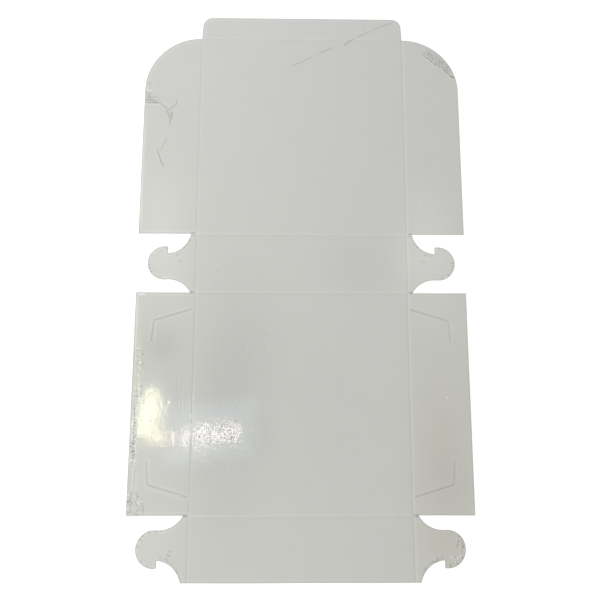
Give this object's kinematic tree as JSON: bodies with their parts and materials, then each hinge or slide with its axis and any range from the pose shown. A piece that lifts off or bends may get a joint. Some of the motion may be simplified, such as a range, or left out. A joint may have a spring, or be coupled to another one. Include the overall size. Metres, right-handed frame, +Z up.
{
  "type": "cake box",
  "caption": "Flat card blank of a square cake box: a base with folding walls, hook tabs that lock through slits in the side walls, and a hinged lid with side flaps and a tuck flap.",
  "frame": {"origin": "centre of the flat blank's outline, on the surface that it lies on", "axes": "+X to the right across the box, +Y from the front wall over the base and back wall to the lid's tuck flap, +Z up, out of the face that becomes the inside of the box"},
  "size_m": [0.3566, 0.6152, 0.0004],
  "materials": {
    "card": "smooth pale coated card with a soft gloss"
  },
  "bodies": {
    "base": {"base_panel": "card"},
    "left_side_wall": {"left_side_wall": "card"},
    "right_side_wall": {"right_side_wall": "card"},
    "front_wall": {"front_wall": "card"},
    "front_left_hook": {"front_left_hook": "card"},
    "front_right_hook": {"front_right_hook": "card"},
    "back_wall": {"back_wall": "card"},
    "back_left_hook": {"back_left_hook": "card"},
    "back_right_hook": {"back_right_hook": "card"},
    "lid": {"lid": "card"},
    "lid_left_flap": {"lid_left_flap": "card"},
    "lid_right_flap": {"lid_right_flap": "card"},
    "tuck_flap": {"tuck_flap": "card"}
  },
  "joints": [
    {"name": "left_side_wall_fold", "type": "hinge", "parent": "base", "child": "left_side_wall", "pos_m": [-0.1143, -0.1288, 0.0004], "axis": [0, 1, 0], "range_deg": [0, 90]},
    {"name": "right_side_wall_fold", "type": "hinge", "parent": "base", "child": "right_side_wall", "pos_m": [0.1143, -0.1288, 0.0004], "axis": [0, -1, 0], "range_deg": [0, 90]},
    {"name": "front_wall_fold", "type": "hinge", "parent": "base", "child": "front_wall", "pos_m": [0, -0.24365, 0.0004], "axis": [-1, 0, 0], "range_deg": [0, 90]},
    {"name": "front_left_hook_fold", "type": "hinge", "parent": "front_wall", "child": "front_left_hook", "pos_m": [-0.1148, -0.27565, 0.0004], "axis": [0, 1, 0], "range_deg": [0, 90]},
    {"name": "front_right_hook_fold", "type": "hinge", "parent": "front_wall", "child": "front_right_hook", "pos_m": [0.1148, -0.27565, 0.0004], "axis": [0, -1, 0], "range_deg": [0, 90]},
    {"name": "back_wall_fold", "type": "hinge", "parent": "base", "child": "back_wall", "pos_m": [0, -0.01395, 0.0004], "axis": [1, 0, 0], "range_deg": [0, 90]},
    {"name": "back_left_hook_fold", "type": "hinge", "parent": "back_wall", "child": "back_left_hook", "pos_m": [-0.1148, 0.0181, 0.0004], "axis": [0, 1, 0], "range_deg": [0, 90]},
    {"name": "back_right_hook_fold", "type": "hinge", "parent": "back_wall", "child": "back_right_hook", "pos_m": [0.1148, 0.0181, 0.0004], "axis": [0, -1, 0], "range_deg": [0, 90]},
    {"name": "lid_fold", "type": "hinge", "parent": "back_wall", "child": "lid", "pos_m": [0, 0.05015, 0.0004], "axis": [1, 0, 0], "range_deg": [0, 90]},
    {"name": "lid_left_flap_fold", "type": "hinge", "parent": "lid", "child": "lid_left_flap", "pos_m": [-0.1153, 0.166, 0.0004], "axis": [0, 1, 0], "range_deg": [0, 90]},
    {"name": "lid_right_flap_fold", "type": "hinge", "parent": "lid", "child": "lid_right_flap", "pos_m": [0.1153, 0.166, 0.0004], "axis": [0, -1, 0], "range_deg": [0, 90]},
    {"name": "tuck_flap_fold", "type": "hinge", "parent": "lid", "child": "tuck_flap", "pos_m": [0, 0.28185, 0.0004], "axis": [1, 0, 0], "range_deg": [0, 90]}
  ]
}
